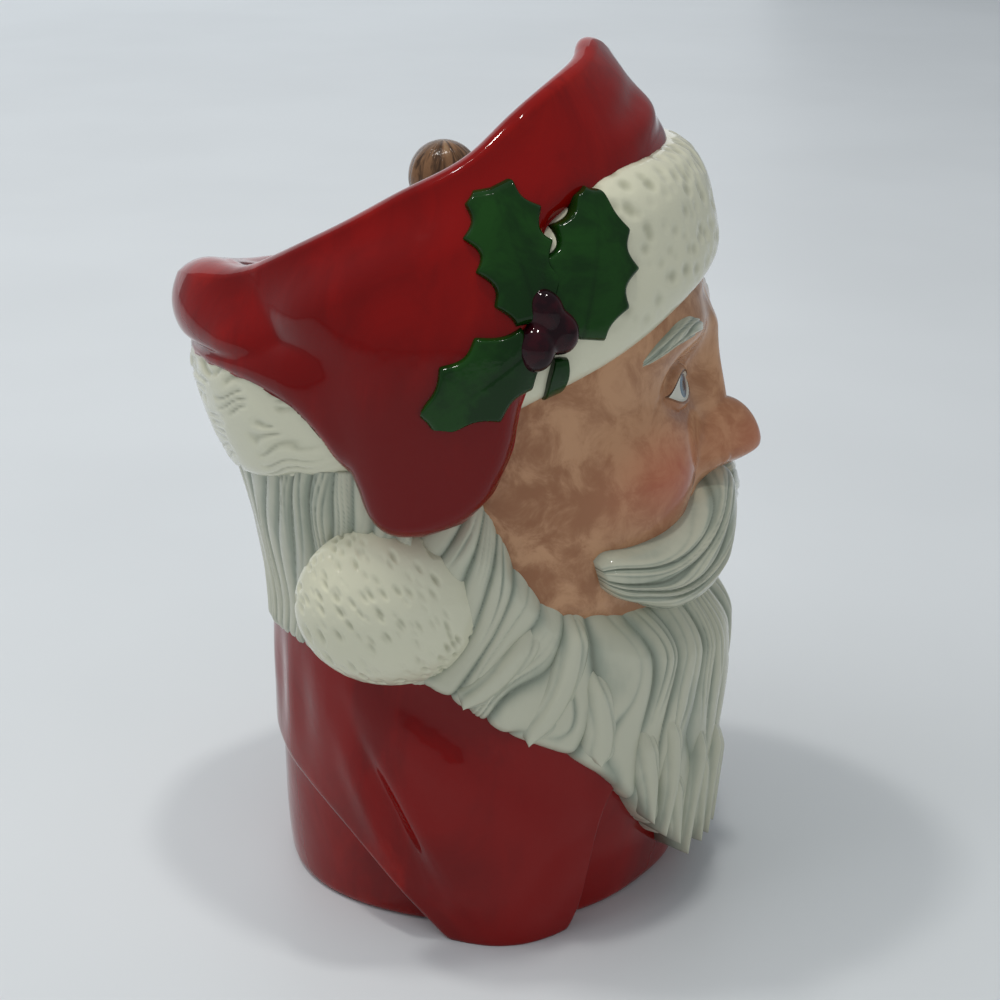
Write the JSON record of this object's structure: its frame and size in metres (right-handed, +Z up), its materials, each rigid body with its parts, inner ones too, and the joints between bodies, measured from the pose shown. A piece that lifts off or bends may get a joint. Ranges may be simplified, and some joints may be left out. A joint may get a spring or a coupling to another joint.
{
  "type": "toby jug",
  "caption": "Glazed earthenware head jug of a white-bearded old man in a fur-trimmed cap: tilted open mouth in the cap, staff-shaped side handle with finger gap, flat foot.",
  "frame": {"origin": "centre of the jug's foot, on the plane that it stands on", "axes": "+Z up from the foot to the peak of the cap; the face looks along -Y; the figure's right side, with the fur ball, is -X and the handle is on +X"},
  "size_m": [0.1553, 0.1297, 0.1889],
  "materials": {
    "glazed_earthenware": "glossy glaze over hand-painted colours: red, cream, grey, flesh, green and brown"
  },
  "bodies": {
    "root": {"toby_jug": "glazed_earthenware"}
  },
  "joints": []
}
